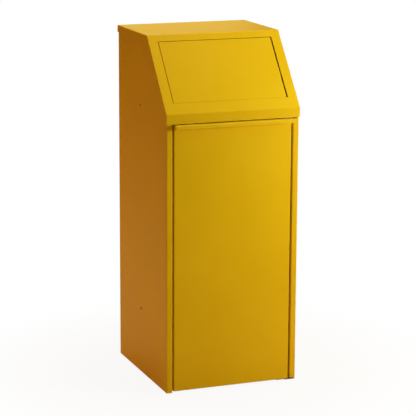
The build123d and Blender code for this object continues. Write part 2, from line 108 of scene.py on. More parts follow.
def folded(points, thick=sheet, radius=bend, steps=6):
    """Section of a sheet bent along a line: its left and right faces, point by point."""
    points = [Vector(p) for p in points]
    runs = [(b - a).normalized() for a, b in zip(points, points[1:])]
    left, right = [], []

    def put(point, side):
        left.append(point + side * thick / 2)
        right.append(point - side * thick / 2)

    put(points[0], Vector((-runs[0].y, runs[0].x)))
    for corner, come, go in zip(points[1:], runs, runs[1:]):
        angle = math.atan2(come.x * go.y - come.y * go.x, come.dot(go))
        hand = math.copysign(1, angle)
        side = Vector((-come.y, come.x))
        centre = corner - come * radius * math.tan(abs(angle) / 2) + side * hand * radius
        for step in range(steps + 1):
            now = side.copy()
            now.rotate(Matrix.Rotation(angle * step / steps, 2))
            put(centre - now * hand * radius, now)
    put(points[-1], Vector((-runs[-1].y, runs[-1].x)))
    return left, right


def shown(shape):
    """Puts a built shape in the scene."""
    mesh = bpy.data.meshes.new("work")
    shape.to_mesh(mesh)
    shape.free()
    work = bpy.data.objects.new("work", mesh)
    scene.collection.objects.link(work)
    return work


def solid(points, faces, tilt_to=None, weld=0):
    """A shape with its faces pointing outwards, its double points welded if asked."""
    shape = bmesh.new()
    corners = [shape.verts.new(p) for p in points]
    for face in faces:
        shape.faces.new([corners[i] for i in face])
    if tilt_to is not None:
        shape.transform(tilt_to)
    if weld:
        bmesh.ops.remove_doubles(shape, verts=shape.verts, dist=weld)
    bmesh.ops.recalc_face_normals(shape, faces=shape.faces)
    return shown(shape)


def placed(pair, along, at):
    """A section's point at a distance along X, Y or Z."""
    return {"x": (at, pair[0], pair[1]), "y": (pair[0], at, pair[1]), "z": (pair[0], pair[1], at)}[along]


def bar(section, along, start, end, tilt_to=None):
    """A bent section drawn out along one axis."""
    left, right = section
    n = len(left)
    points = [placed(p, along, at) for at in (start, end) for p in left + right]
    faces = [(0, n, 3 * n, 2 * n), (n - 1, 3 * n - 1, 4 * n - 1, 2 * n - 1)]
    for i in range(n - 1):
        faces += [(i, i + 1, 2 * n + i + 1, 2 * n + i), (n + i, 3 * n + i, 3 * n + i + 1, n + i + 1)]
        faces += [(i, n + i, n + i + 1, i + 1), (2 * n + i, 2 * n + i + 1, 3 * n + i + 1, 3 * n + i)]
    return solid(points, faces, tilt_to)


def plate(outline, along, start, end, tilt_to=None):
    """A flat outline given a thickness along one axis."""
    n = len(outline)
    points = [placed(p, along, at) for at in (start, end) for p in outline]
    faces = [tuple(range(n)), tuple(range(2 * n - 1, n - 1, -1))]
    faces += [(i, (i + 1) % n, n + (i + 1) % n, n + i) for i in range(n)]
    return solid(points, faces, tilt_to)


def block(x, y, z, tilt_to=None):
    return plate([(x[0], y[0]), (x[1], y[0]), (x[1], y[1]), (x[0], y[1])], "z", z[0], z[1], tilt_to)


def round_bar(start, end, radius, sides=32, tilt_to=None):
    """A round bar, pin or drill from one point to another."""
    start, end = Vector(start), Vector(end)
    turned = (end - start).to_track_quat("Z", "Y")
    ring = [Vector((radius * math.cos(math.tau * i / sides), radius * math.sin(math.tau * i / sides), 0))
            for i in range(sides)]
    points = [at + turned @ p for at in (start, end) for p in ring]
    faces = [tuple(range(sides)), tuple(range(2 * sides - 1, sides - 1, -1))]
    faces += [(i, (i + 1) % sides, sides + (i + 1) % sides, sides + i) for i in range(sides)]
    return solid(points, faces, tilt_to)


def worked(work, operation, tools):
    """Welds tools on to a shape (UNION), cuts them out (DIFFERENCE), or keeps what is inside them."""
    for tool in tools:
        step = work.modifiers.new("step", "BOOLEAN")
        step.operation, step.solver, step.object = operation, "EXACT", tool
    settle(work)
    for tool in tools:
        bpy.data.objects.remove(tool)
    shape = bmesh.new()
    shape.from_mesh(work.data)
    bmesh.ops.remove_doubles(shape, verts=shape.verts, dist=same_point)
    bmesh.ops.dissolve_limit(shape, angle_limit=same_plane, verts=shape.verts, edges=shape.edges)
    shape.to_mesh(work.data)
    shape.free()
    return work


def settle(work):
    """Makes a shape's modifiers part of its mesh."""
    bpy.context.view_layer.update()
    done = work.evaluated_get(bpy.context.evaluated_depsgraph_get())
    mesh = bpy.data.meshes.new_from_object(done)
    work.modifiers.clear()
    work.data = mesh


def mirrored(work):
    """The same shape made left-handed."""
    shape = bmesh.new()
    shape.from_mesh(work.data)
    shape.transform(Matrix.Scale(-1, 4, (1, 0, 0)))
    bmesh.ops.reverse_faces(shape, faces=shape.faces)
    return shown(shape)


def finished(work, name, finish, body, nodes, edge=0.3 * mm, steps=2):
    """Breaks the cut edges, gives the piece its finish and hands it to the body it rides on."""
    if edge:
        broken = work.modifiers.new("edge", "BEVEL")
        broken.width, broken.segments, broken.limit_method = edge, steps, "ANGLE"
        broken.angle_limit = sharp
    work.data.polygons.foreach_set("use_smooth", [True] * len(work.data.polygons))
    flat = work.modifiers.new("flat", "WEIGHTED_NORMAL")
    flat.keep_sharp = True
    settle(work)
    work.name = work.data.name = name
    work.data.materials.clear()
    work.data.materials.append(finish)
    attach(work, body)
    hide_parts(*nodes)
    return work


def node(tree, kind, **settings):
    """Adds a node, with its own settings or its inputs' values by name."""
    made = tree.nodes.new(kind)
    for key, value in settings.items():
        key = key.replace("_", " ") if key[0].isupper() else key
        if key in made.inputs:
            made.inputs[key].default_value = value
        else:
            setattr(made, key, value)
    return made


def shader_group(name, inputs, outputs):
    """An empty shader group with its named sockets."""
    tree = bpy.data.node_groups.new(name, "ShaderNodeTree")
    for label, value in inputs:
        tree.interface.new_socket(label, in_out="INPUT", socket_type="NodeSocketFloat").default_value = value
    for label, kind in outputs:
        tree.interface.new_socket(label, in_out="OUTPUT", socket_type=kind)
    return tree, tree.nodes.new("NodeGroupInput"), tree.nodes.new("NodeGroupOutput")


# Fine ripple of a baked or moulded skin, with the slow change of tone across a panel.
skin, given, out = shader_group(
    "skin_ripple", [("Ripple", 420.0), ("Grain", 1500.0), ("Cloud", 5.0)],
    [("Height", "NodeSocketFloat"), ("Tone", "NodeSocketFloat")])
where = node(skin, "ShaderNodeTexCoord")
ripple = node(skin, "ShaderNodeTexNoise", Detail=2.0, Roughness=0.5)
grain = node(skin, "ShaderNodeTexNoise", Detail=1.0, Roughness=0.6)
cloud = node(skin, "ShaderNodeTexNoise", Detail=3.0, Roughness=0.55)
both = node(skin, "ShaderNodeMix", data_type="FLOAT")
both.inputs[0].default_value = 0.3
for texture, label in ((ripple, "Ripple"), (grain, "Grain"), (cloud, "Cloud")):
    skin.links.new(where.outputs["Object"], texture.inputs["Vector"])
    skin.links.new(given.outputs[label], texture.inputs["Scale"])
skin.links.new(ripple.outputs["Fac"], both.inputs[2])
skin.links.new(grain.outputs["Fac"], both.inputs[3])
skin.links.new(both.outputs[0], out.inputs["Height"])
skin.links.new(cloud.outputs["Fac"], out.inputs["Tone"])


def surfaced(name, dark, light, gloss, depth, ripple=420.0, grain=1500.0, cloud=5.0, **shader):
    """A finish with a rippled skin: two tones, a range of roughness and a depth of ripple."""
    made = bpy.data.materials.new(name)
    made.use_nodes = True
    tree = made.node_tree
    join = tree.links.new
    face = tree.nodes["Principled BSDF"]
    for key, value in shader.items():
        face.inputs[key.replace("_", " ")].default_value = value
    look = node(tree, "ShaderNodeGroup", node_tree=skin)
    for label, value in (("Ripple", ripple), ("Grain", grain), ("Cloud", cloud)):
        look.inputs[label].default_value = value
    tones = node(tree, "ShaderNodeValToRGB")
    for stop, place, tone in zip(tones.color_ramp.elements, (0.3, 0.7), (dark, light)):
        stop.position, stop.color = place, (*tone, 1)
    rough = node(tree, "ShaderNodeMapRange", From_Min=0.3, From_Max=0.7, To_Min=gloss[0], To_Max=gloss[1])
    bump = node(tree, "ShaderNodeBump", Strength=1.0, Distance=depth)
    join(look.outputs["Tone"], tones.inputs["Fac"])
    join(tones.outputs["Color"], face.inputs["Base Color"])
    join(look.outputs["Tone"], rough.inputs["Value"])
    join(rough.outputs["Result"], face.inputs["Roughness"])
    join(look.outputs["Height"], bump.inputs["Height"])
    join(bump.outputs["Normal"], face.inputs["Normal"])
    return made


yellow_coat = surfaced(
    "yellow_powder_coat", (0.79, 0.475, 0.004), (0.83, 0.505, 0.006), (0.33, 0.41), 0.06 * mm,
    Specular_IOR_Level=0.22, Specular_Tint=(1.0, 0.85, 0.3, 1.0),
    Coat_Weight=0.05, Coat_Roughness=0.18, Coat_IOR=1.4)


def slope_corner(corner, side_a, side_b, inset):
    """A corner of the side view, moved in from both of its sides."""
    share = inset / (1 + side_a[0] * side_b[0] + side_a[1] * side_b[1])
    return (corner[0] + (side_a[0] + side_b[0]) * share, corner[1] + (side_a[1] + side_b[1]) * share)


def lid_edge(inset):
    return slope_corner((slope_top, lid_top), (0, -1), slope_in, inset)


def slope_at(y, inset):
    edge = lid_edge(inset)
    return edge[1] + (y - edge[0]) * slope_drop / slope_run


wall = folded([
    (half_width - rear_flange, back - sheet / 2),
    (half_width - sheet / 2, back - sheet / 2),
    (half_width - sheet / 2, front + sheet / 2),
    (post_edge + sheet / 2, front + sheet / 2),
    (post_edge + sheet / 2, front + post_return)])
side = bar(wall, "z", side_foot, lid_top + sheet)
tuck = 1.5 * sheet
past = 5 * sheet
worked(side, "INTERSECT", [plate([
    (front - past, -sheet), (front - past, slope_at(front - past, tuck)), lid_edge(tuck),
    (back + past, lid_top - tuck), (back + past, -sheet)], "x", 0, 2 * half_width)])
flange_front = front + post_return + sheet
lid_flange = bar(folded([
    (back - sheet, lid_top - tuck), lid_edge(tuck), (flange_front, slope_at(flange_front, tuck))]),
    "x", inside - top_flange, inside + sheet / 2)
worked(side, "UNION", [lid_flange])
worked(side, "DIFFERENCE", [
    round_bar((inside - sheet, link_hole_y, z), (half_width + sheet, link_hole_y, z), link_hole)
    for z in link_hole_heights] + [
    round_bar((stud_x, y, lid_top - 4 * sheet), (stud_x, y, lid_top + sheet), stud_hole) for y in stud_rows])
left_side = mirrored(side)
arm_low, arm_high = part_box("top_pivot_arm")
lower_arm_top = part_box("bottom_pivot_arm")[1].z
play = 1.2 * mm
worked(side, "DIFFERENCE", [
    block((post_edge - sheet, pin_x + eye_reach), (front - sheet, pin_y + eye + play),
          (arm_high.z - 2 * mm - play, arm_high.z + play)),
    block((post_edge - sheet, pin_x + eye_reach), (front - sheet, front + post_return + sheet),
          (0, lower_arm_top + play))])
finished(left_side, "left_side", yellow_coat, "housing", ["left_side_panel"])
finished(side, "right_side", yellow_coat, "housing", ["right_side_panel"])

# ---- Back panel and its rivets ----
# A flat sheet closes the back from inside the rear flanges. Five zinc-plated steel blind rivets
# go through each flange, with a domed head outside and the broken stem sunk in its middle.
finished(block(*zip(*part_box("back_panel"))), "back_sheet", yellow_coat, "housing",
         ["back_panel"])
rivet_low, rivet_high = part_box("back_rivets")
rivet_count = 5
rivet_head, rivet_shank = 4 * mm, 2 * mm
rivet_span = rivet_high - rivet_low - Vector((2 * rivet_head, 0, 2 * rivet_head))


def lathed(profile, sides=32, turned=Matrix.Identity(4)):
    """A round part turned from its profile of (radius, height), from its foot to its crown."""
    points, rings = [], []
    for radius, height in profile:
        count = sides if radius > 1e-7 else 1
        rings.append(range(len(points), len(points) + count))
        points += [(radius * math.cos(math.tau * i / sides), radius * math.sin(math.tau * i / sides), height)
                   for i in range(count)]
    faces = []
    for low, high in zip(rings, rings[1:]):
        for i in range(sides):
            j = (i + 1) % sides
            if len(low) == 1:
                faces.append((low[0], high[j], high[i]))
            elif len(high) == 1:
                faces.append((low[i], low[j], high[0]))
            else:
                faces.append((low[i], low[j], high[j], high[i]))
    if len(rings[0]) > 1:
        faces.append(tuple(reversed(rings[0])))
    if len(rings[-1]) > 1:
        faces.append(tuple(rings[-1]))
    return solid(points, faces, turned)


def rows_tree():
    """Sets one part out in rows: a first place, two steps with their counts, and a loose turn."""
    tree = bpy.data.node_groups.new("set_out_in_rows", "GeometryNodeTree")
    face = tree.interface
    face.new_socket("Geometry", in_out="INPUT", socket_type="NodeSocketGeometry")
    for label in ("First place", "Step along", "Step across", "Turn axis"):
        face.new_socket(label, in_out="INPUT", socket_type="NodeSocketVector")
    for label in ("Count along", "Count across", "Seed"):
        face.new_socket(label, in_out="INPUT", socket_type="NodeSocketInt").default_value = 1
    face.new_socket("Material", in_out="INPUT", socket_type="NodeSocketMaterial")
    face.new_socket("Geometry", in_out="OUTPUT", socket_type="NodeSocketGeometry")
    given, out = tree.nodes.new("NodeGroupInput"), tree.nodes.new("NodeGroupOutput")
    along = node(tree, "GeometryNodeMeshLine", mode="OFFSET")
    over = node(tree, "GeometryNodeMeshLine", mode="OFFSET")
    grid = node(tree, "GeometryNodeInstanceOnPoints")
    real = node(tree, "GeometryNodeRealizeInstances")
    parts = node(tree, "GeometryNodeInstanceOnPoints")
    loose = node(tree, "FunctionNodeRandomValue", data_type="FLOAT")
    loose.inputs[2].default_value, loose.inputs[3].default_value = 0.0, math.tau
    turned = node(tree, "ShaderNodeVectorMath", operation="SCALE")
    whole = node(tree, "GeometryNodeRealizeInstances")
    coat = node(tree, "GeometryNodeSetMaterial")
    join = tree.links.new
    join(given.outputs["Count along"], along.inputs["Count"])
    join(given.outputs["Step along"], along.inputs["Offset"])
    join(given.outputs["First place"], along.inputs["Start Location"])
    join(given.outputs["Count across"], over.inputs["Count"])
    join(given.outputs["Step across"], over.inputs["Offset"])
    join(over.outputs["Mesh"], grid.inputs["Points"])
    join(along.outputs["Mesh"], grid.inputs["Instance"])
    join(grid.outputs["Instances"], real.inputs["Geometry"])
    join(real.outputs["Geometry"], parts.inputs["Points"])
    join(given.outputs["Geometry"], parts.inputs["Instance"])
    join(given.outputs["Seed"], loose.inputs["Seed"])
    join(given.outputs["Turn axis"], turned.inputs[0])
    join(loose.outputs[1], turned.inputs["Scale"])
    join(turned.outputs["Vector"], parts.inputs["Rotation"])
    join(parts.outputs["Instances"], whole.inputs["Geometry"])
    join(whole.outputs["Geometry"], coat.inputs["Geometry"])
    join(given.outputs["Material"], coat.inputs["Material"])
    join(coat.outputs["Geometry"], out.inputs["Geometry"])
    return tree


rows = rows_tree()


def set_out(part, first, along, count_along, across_step, count_across, finish, turn_axis=(0, 0, 0), seed=3):
    """Repeats one part in rows and returns the plain mesh of them all."""
    put = part.modifiers.new("rows", "NODES")
    put.node_group = rows
    given = {"First place": first, "Step along": along, "Step across": across_step, "Turn axis": turn_axis,
             "Count along": count_along, "Count across": count_across, "Seed": seed, "Material": finish}
    for item in rows.interface.items_tree:
        if item.in_out == "INPUT" and item.name in given:
            value = given[item.name]
            put[item.identifier] = list(value) if isinstance(value, (tuple, Vector)) else value
    settle(part)
    return part


# Bright electroplated zinc on steel: a cool metal, clouded by handling, with a faint drawn grain.
zinc = surfaced("zinc_plated_steel", (0.50, 0.51, 0.53), (0.66, 0.66, 0.65), (0.24, 0.38), 0.008 * mm,
                ripple=900.0, grain=4000.0, cloud=160.0, Metallic=1.0)
rivet = lathed([
    (0, -4 * sheet), (rivet_shank, -4 * sheet), (rivet_shank, 0), (rivet_head, 0), (rivet_head, 0.2 * mm),
    (rivet_head * 0.93, 0.42 * mm), (rivet_head * 0.78, 0.68 * mm), (rivet_head * 0.6, 0.88 * mm),
    (rivet_head * 0.42, 0.98 * mm), (1.2 * mm, 1.0 * mm), (1.05 * mm, 0.85 * mm), (1.0 * mm, 0.5 * mm),
    (0.5 * mm, 0.38 * mm), (0, 0.45 * mm)], 28, Matrix.Rotation(-math.pi / 2, 4, "X"))
rivets = set_out(
    rivet, (rivet_low.x + rivet_head, back, rivet_low.z + rivet_head),
    (0, 0, rivet_span.z / (rivet_count - 1)), rivet_count, (rivet_span.x, 0, 0), 2, zinc)
finished(rivets, "rear_rivets", zinc, "housing", ["back_rivets"], edge=0)

# ---- Floor pan and glides ----
# A shelf with its edges turned down is spot-welded between the sides. A black polyethylene glide
# stands under each corner, its pad slightly dished and its ribbed stem pressed up through the pan.
pan_low, pan_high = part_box("floor_pan")
pan_half = inside - sheet / 2
pan = bar(folded([(-pan_half, pan_low.z), (-pan_half, pan_high.z - sheet / 2),
                  (pan_half, pan_high.z - sheet / 2), (pan_half, pan_low.z)]), "y", pan_low.y, pan_high.y)
worked(pan, "UNION", [block((pan_low.x, pan_high.x), (y, y + sheet), (pan_low.z, pan_high.z - sheet / 2))
                      for y in (pan_low.y, pan_high.y - sheet)])
glide_low, glide_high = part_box("foot_front_left")
glide = (glide_low + glide_high) / 2
glide_back = (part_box("foot_rear_left")[0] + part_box("foot_rear_left")[1]) / 2
stem = 4 * mm
worked(pan, "DIFFERENCE", [
    round_bar((x, y, pan_high.z - 3 * sheet), (x, y, pan_high.z + sheet), stem + 0.02 * mm)
    for x in (glide.x, -glide.x) for y in (glide.y, glide_back.y)])
finished(pan, "floor_shelf", yellow_coat, "housing", ["floor_pan"])
glide_plastic = surfaced("black_glide_plastic", (0.012, 0.012, 0.013), (0.022, 0.022, 0.023), (0.40, 0.62),
                         0.05 * mm, ripple=1100.0, grain=3000.0, cloud=60.0)
pad_top = side_foot + sheet
stem_top = glide_high.z - glide_low.z
one_glide = lathed([
    (0, 0.35 * mm), (9 * mm, 0.3 * mm), (11.5 * mm, 0), (13.8 * mm, 0), (14.7 * mm, 0.3 * mm),
    (15 * mm, 1.0 * mm), (15 * mm, pad_top - 0.8 * mm), (14.6 * mm, pad_top - 0.15 * mm),
    (14 * mm, pad_top), (9 * mm, pad_top), (8.2 * mm, pad_top + 0.4 * mm), (8 * mm, pad_top + 1.4 * mm),
    (8 * mm, stem_top - sheet - 0.3 * mm), (7.7 * mm, stem_top - sheet), (stem, stem_top - sheet),
    (stem, stem_top - 0.3 * mm), (3.6 * mm, stem_top), (0, stem_top)], 40)
glides = set_out(one_glide, (glide.x, glide.y, 0), (0, glide_back.y - glide.y, 0), 2,
                 (-2 * glide.x, 0, 0), 2, glide_plastic)
finished(glides, "glides", glide_plastic, "housing",
         ["foot_front_left", "foot_front_right", "foot_rear_left", "foot_rear_right"], edge=0)

# ---- Header rail ----
# A folded angle joins the two posts above the door, behind the lid's apron. It is spot-welded to
# the posts, and two holes in it take the screws of the door's catch.
rail_low, rail_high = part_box("header_rail")
screw_low, screw_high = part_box("catch_screws")
screw_radius = 1.5 * mm
pressed, turning = 0.02 * mm, 0.05 * mm          # clearances at the radius
screw_y = (screw_low.y + screw_high.y) / 2
screw_xs = (screw_low.x + 2 * screw_radius, screw_high.x - 2 * screw_radius)
rail = bar(folded([
    (rail_high.y, rail_low.z + sheet / 2), (front + sheet / 2, rail_low.z + sheet / 2),
    (front + sheet / 2, rail_high.z)]), "x", rail_low.x, rail_high.x)
worked(rail, "DIFFERENCE", [
    round_bar((x, screw_y, rail_low.z - sheet), (x, screw_y, rail_low.z + 3 * sheet),
              screw_radius + pressed, 20)
    for x in screw_xs])
finished(rail, "header", yellow_coat, "housing", ["header_rail"])

# ---- Hood ----
# The lid, slope and apron are one sheet folded over the body, with a turned-down rim at the back.
# Its side bands are folded on and their corners welded, ground smooth and coated over. It stands
# on four weld studs, each with a flanged nut under the side panels' flanges.
opening_half = hood_high.x - 28.5 * mm
opening_top, opening_bottom = 22 * mm, slope_long - 35 * mm
rim_drop = 20 * mm
on_slope = Matrix.Translation((0, slope_top, lid_top)) @ Matrix((
    (1, 0, 0, 0), (0, -slope_in[1], -slope_in[0], 0), (0, slope_in[0], -slope_in[1], 0), (0, 0, 0, 1)))
apron_low, hood_face, hood_rear = hood_low.z - 1 * mm, hood_low.y, hood_high.y
half = sheet / 2


def slope_foot(inset):
    return slope_corner((hood_face, lid_top - slope_drop), slope_in, (1, 0), inset)


outside = [(hood_rear, lid_top - rim_drop), (hood_rear, lid_top), (slope_top, lid_top),
           (hood_face, lid_top - slope_drop), (hood_face, apron_low)]
band = [(hood_rear - rim_drop, lid_top - rim_drop), (hood_rear - rim_drop, lid_top - rim_drop),
        lid_edge(rim_drop), slope_foot(rim_drop), (hood_face + rim_drop, apron_low)]
n = len(outside)
hood_points = [placed(p, "x", at) for at in (-hood_high.x, hood_high.x) for p in outside + band]
hood_faces = [(i, i + 1, 2 * n + i + 1, 2 * n + i) for i in range(n - 1)]
for end in (0, 2 * n):
    hood_faces += [(end + i, end + i + 1, end + n + i + 1, end + n + i) for i in range(1, n - 1)]
    hood_faces += [(end, end + 1, end + n + 1)]
hood = solid(hood_points, hood_faces, weld=1e-6)
round_off = hood.modifiers.new("bends", "BEVEL")
round_off.width, round_off.segments, round_off.limit_method = bend + half, 6, "ANGLE"
round_off.angle_limit = math.radians(20)
settle(hood)
thickened = hood.modifiers.new("wall", "SOLIDIFY")
thickened.thickness, thickened.offset, thickened.use_even_offset = sheet, -1, True
settle(hood)
worked(hood, "DIFFERENCE", [
    block((-opening_half, opening_half), (-opening_bottom, -opening_top), (-3 * sheet, 3 * sheet), on_slope)])
finished(hood, "hood_shell", yellow_coat, "housing", ["hood"], edge=0.45 * mm, steps=3)
stud_top = lid_top - sheet
thread, groove, half_pitch = 2.5 * mm, 0.3 * mm, 0.4 * mm
stud = lathed([
    (0, -12 * mm), (2.0 * mm, -12 * mm), (thread, -11.5 * mm)] + [
    (thread - (i % 2) * groove, -11.4 * mm + i * half_pitch) for i in range(21)] + [
    (thread, -1.2 * mm), (thread, 0), (0, 0)], 24)
studs = set_out(stud, (-stud_x, stud_rows[0], stud_top), (0, stud_rows[1] - stud_rows[0], 0), 2,
                (2 * stud_x, 0, 0), 2, zinc)
finished(studs, "weld_studs", zinc, "housing", ["hood_studs"], edge=0)
nut_low, nut_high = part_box("hood_nuts")
washer = lathed([(0, -1.5 * mm), (4.8 * mm, -1.5 * mm), (5.5 * mm, -0.9 * mm), (5.75 * mm, -0.45 * mm),
                 (5.75 * mm, -0.1 * mm), (5.6 * mm, 0), (0, 0)], 32)
nut_corner = 4.62 * mm
hexagon = plate([(nut_corner * math.cos(math.pi * i / 3), nut_corner * math.sin(math.pi * i / 3))
                 for i in range(6)], "z", nut_low.z - nut_high.z, -0.8 * mm)
chamfer = lathed([(0, -5.6 * mm), (3.9 * mm, -5.6 * mm), (4.75 * mm, -5.1 * mm), (5.2 * mm, -4.6 * mm),
                  (5.2 * mm, 0), (0, 0)], 48)
worked(hexagon, "INTERSECT", [chamfer])
nut = worked(washer, "UNION", [hexagon])
worked(nut, "DIFFERENCE", [round_bar((0, 0, -10 * mm), (0, 0, 10 * mm), thread + pressed, 24)])
nuts = set_out(nut, (-stud_x, stud_rows[0], nut_high.z), (0, stud_rows[1] - stud_rows[0], 0), 2,
               (2 * stud_x, 0, 0), 2, zinc, turn_axis=(0, 0, 1), seed=7)
finished(nuts, "flange_nuts", zinc, "housing", ["hood_nuts"], edge=0.12 * mm)

# ---- Flap brackets and bushes ----
# Each end of the flap's rod turns in a flanged white nylon bush, pressed into the ear of a 2 mm
# steel bracket. The bracket's foot is welded under the side panel's slope flange.
rod_radius, rod_drop, rod_deep = 3 * mm, opening_top + 6 * mm, 10.5 * mm
bracket_sheet = 2 * mm
ear_in = opening_half + 1.5 * sheet
ear_out = ear_in + bracket_sheet
bush_out = ear_out + 0.6 * mm


def on_rod(start, end, radius, sides=32):
    """A round bar on the flap's hinge line."""
    return round_bar((start, -rod_drop, -rod_deep), (end, -rod_drop, -rod_deep), radius, sides, on_slope)


ear_rows = (-rod_drop - 9 * mm, -rod_drop + 9 * mm)
ear_low, foot_under = -rod_deep - 7.2 * mm, -2 * sheet
corner_cut = 5 * mm
ear_shape = [(ear_rows[0], 0), (ear_rows[0], ear_low + corner_cut)]
for row, hand in ((ear_rows[0], 1), (ear_rows[1], -1)):
    swing = [math.radians(90 * i / 6) for i in range(7)]
    arc = [(row + hand * corner_cut * (1 - math.cos(a)), ear_low + corner_cut * (1 - math.sin(a)))
           for a in swing]
    ear_shape += arc[1:] if hand > 0 else arc[::-1]
ear_shape.append((ear_rows[1], 0))
ear_mid, foot_mid = ear_in + bracket_sheet / 2, foot_under - bracket_sheet / 2
ear = bar(folded([(ear_mid, ear_low), (ear_mid, foot_mid), (inside - 2 * sheet, foot_mid)],
                 bracket_sheet, 1.6 * mm), "y", ear_rows[0], ear_rows[1], on_slope)
worked(ear, "INTERSECT", [plate(ear_shape, "x", ear_in - sheet, inside, on_slope)])
worked(ear, "DIFFERENCE", [on_rod(ear_in - sheet, ear_out + sheet, rod_radius + 1.52 * mm)])
for piece, hand in ((ear, "right"), (mirrored(ear), "left")):
    finished(piece, "flap_ear_" + hand, yellow_coat, "housing",
             ["flap_bracket_" + hand])
white_nylon = surfaced("white_nylon", (0.72, 0.71, 0.66), (0.80, 0.79, 0.75), (0.38, 0.5), 0.01 * mm,
                       ripple=900.0, grain=3500.0, cloud=90.0, Subsurface_Weight=0.15, Subsurface_Scale=0.002)
bush = on_rod(ear_in, bush_out, rod_radius + 1.5 * mm, 40)
worked(bush, "UNION", [on_rod(ear_in - 1 * mm, ear_in, rod_radius + 3 * mm, 40)])
worked(bush, "DIFFERENCE", [on_rod(ear_in - 2 * mm, bush_out + sheet, rod_radius + turning, 40)])
for piece, hand in ((bush, "right"), (mirrored(bush), "left")):
    finished(piece, "rod_bush_" + hand, white_nylon, "housing", ["flap_bush_" + hand],
             edge=0.15 * mm)

# ---- Flap ----
# The push flap is a shallow tray, its sides folded in and its foot joggled to a tongue that closes
# behind the hood's sill. A top-hat channel keeps it flat. Its rod runs through both side folds, and
# it sits at the left end of its play.
flap_half = opening_half - 3.5 * mm
flap_left = -flap_half - 2.2 * mm
flap_start, flap_end = opening_top + 2 * mm, opening_bottom - 0.5 * mm
flap_fold, tongue, joggle = 18 * mm, 10 * mm, 3.5 * mm
web = flap_end - half
tight = 0.9 * mm
tray = bar(folded([(flap_left + half, -flap_fold), (flap_left + half, -half),
                   (flap_half - half, -half), (flap_half - half, -flap_fold)], sheet, tight),
           "y", -(web - tight), -flap_start, on_slope)
worked(tray, "UNION", [bar(folded([
    (-(web - 3 * bend), -half), (-web, -half), (-web, -half - joggle), (-flap_end - tongue, -half - joggle)],
    sheet, tight), "x", flap_left + half, flap_half - half, on_slope)])
worked(tray, "DIFFERENCE", [on_rod(-opening_half, opening_half, rod_radius + pressed)])
finished(tray, "flap_tray", yellow_coat, "flap", ["flap_panel"], edge=0.35 * mm)
channel_deep = 10.8 * mm
channel_mid = rod_drop + (flap_end - rod_drop) * 3 / 4
channel = bar(folded([
    (-channel_mid - channel_deep * 1.5, -1.5 * sheet), (-channel_mid - channel_deep, -1.5 * sheet),
    (-channel_mid - channel_deep, -channel_deep), (-channel_mid + channel_deep, -channel_deep),
    (-channel_mid + channel_deep, -1.5 * sheet), (-channel_mid + channel_deep * 1.5, -1.5 * sheet)]),
    "x", -flap_half + sheet + 2 * bend, flap_half - sheet - 2 * bend, on_slope)
finished(channel, "flap_channel", yellow_coat, "flap", ["flap_stiffener"])

# ---- Hinge rod and its clips ----
# A drawn 6 mm zinc-plated rod with chamfered ends carries the flap. A push-on spring clip with
# cut teeth holds each end outside its bracket.
clip_in = bush_out + 0.2 * mm
clip_out = clip_in + 1 * mm
rod_end = clip_out + 1.5 * mm
rod = on_rod(-rod_end, rod_end, rod_radius, 40)
finished(rod, "rod", zinc, "flap", ["hinge_rod"], edge=0.5 * mm)
clip = on_rod(clip_in, clip_out, rod_radius + 1.5 * mm, 40)
worked(clip, "DIFFERENCE", [on_rod(clip_in - sheet, clip_out + sheet, rod_radius + pressed, 40)])
for piece, hand in ((clip, "right"), (mirrored(clip), "left")):
    finished(piece, "clip_" + hand, zinc, "flap", ["rod_clip_" + hand], edge=0.2 * mm)

# ---- Flap springs ----
# A torsion spring of 1.6 mm oil-tempered wire winds round the rod at each end. One leg rests under
# the hood above the opening, the other presses on the back of the flap and turns with it.
spring_steel = surfaced("spring_steel", (0.075, 0.072, 0.07), (0.16, 0.155, 0.15), (0.28, 0.42), 0.006 * mm,
                        ripple=2500.0, grain=6000.0, cloud=400.0, Metallic=1.0)
wire, turns, coil_play = 0.8 * mm, 9, 0.65 * mm
coil = rod_radius + coil_play + wire
spring_out = flap_half - sheet - 2 * bend
coil_first, coil_last = spring_out - 2 * wire * turns + wire, spring_out - wire
leg_deep = -sheet - 0.1 * mm - wire


def wire_along(path, radius=wire, sides=12):
    """Round wire along a smooth line of points, its ends closed."""
    path = [Vector(p) for p in path]
    points, rings = [], []
    side = None
    for i, at in enumerate(path):
        run = (path[min(i + 1, len(path) - 1)] - path[max(i - 1, 0)]).normalized()
        if side is None:
            side = run.orthogonal().normalized()
        side = (side - run * side.dot(run)).normalized()
        other = run.cross(side)
        rings.append(range(len(points), len(points) + sides))
        turns_round = [math.tau * k / sides for k in range(sides)]
        points += [at + (side * math.cos(a) + other * math.sin(a)) * radius for a in turns_round]
    faces = [tuple(reversed(rings[0])), tuple(rings[-1])]
    for low, high in zip(rings, rings[1:]):
        faces += [(low[k], low[(k + 1) % sides], high[(k + 1) % sides], high[k]) for k in range(sides)]
    return solid(points, faces, on_slope)


steps = 28
coil_path = []
for i in range(steps * (turns - 1) + 1):
    angle = math.tau * i / steps
    x = coil_first + (coil_last - coil_first) * i / (steps * (turns - 1))
    coil_path.append((x, -rod_drop + coil * math.sin(angle), -rod_deep + coil * math.cos(angle)))
near, down = leg_deep - 0.9 * mm, leg_deep - 0.15 * mm
off, over = -rod_deep + 1.02 * coil, -rod_deep + 1.25 * coil


def leg_path(x, places, end):
    """A spring's leg: off the coil, down on to the sheet, then along it to its end."""
    return [(x, -rod_drop + along * coil, deep) for along, deep in places] + [(x, end, leg_deep)]


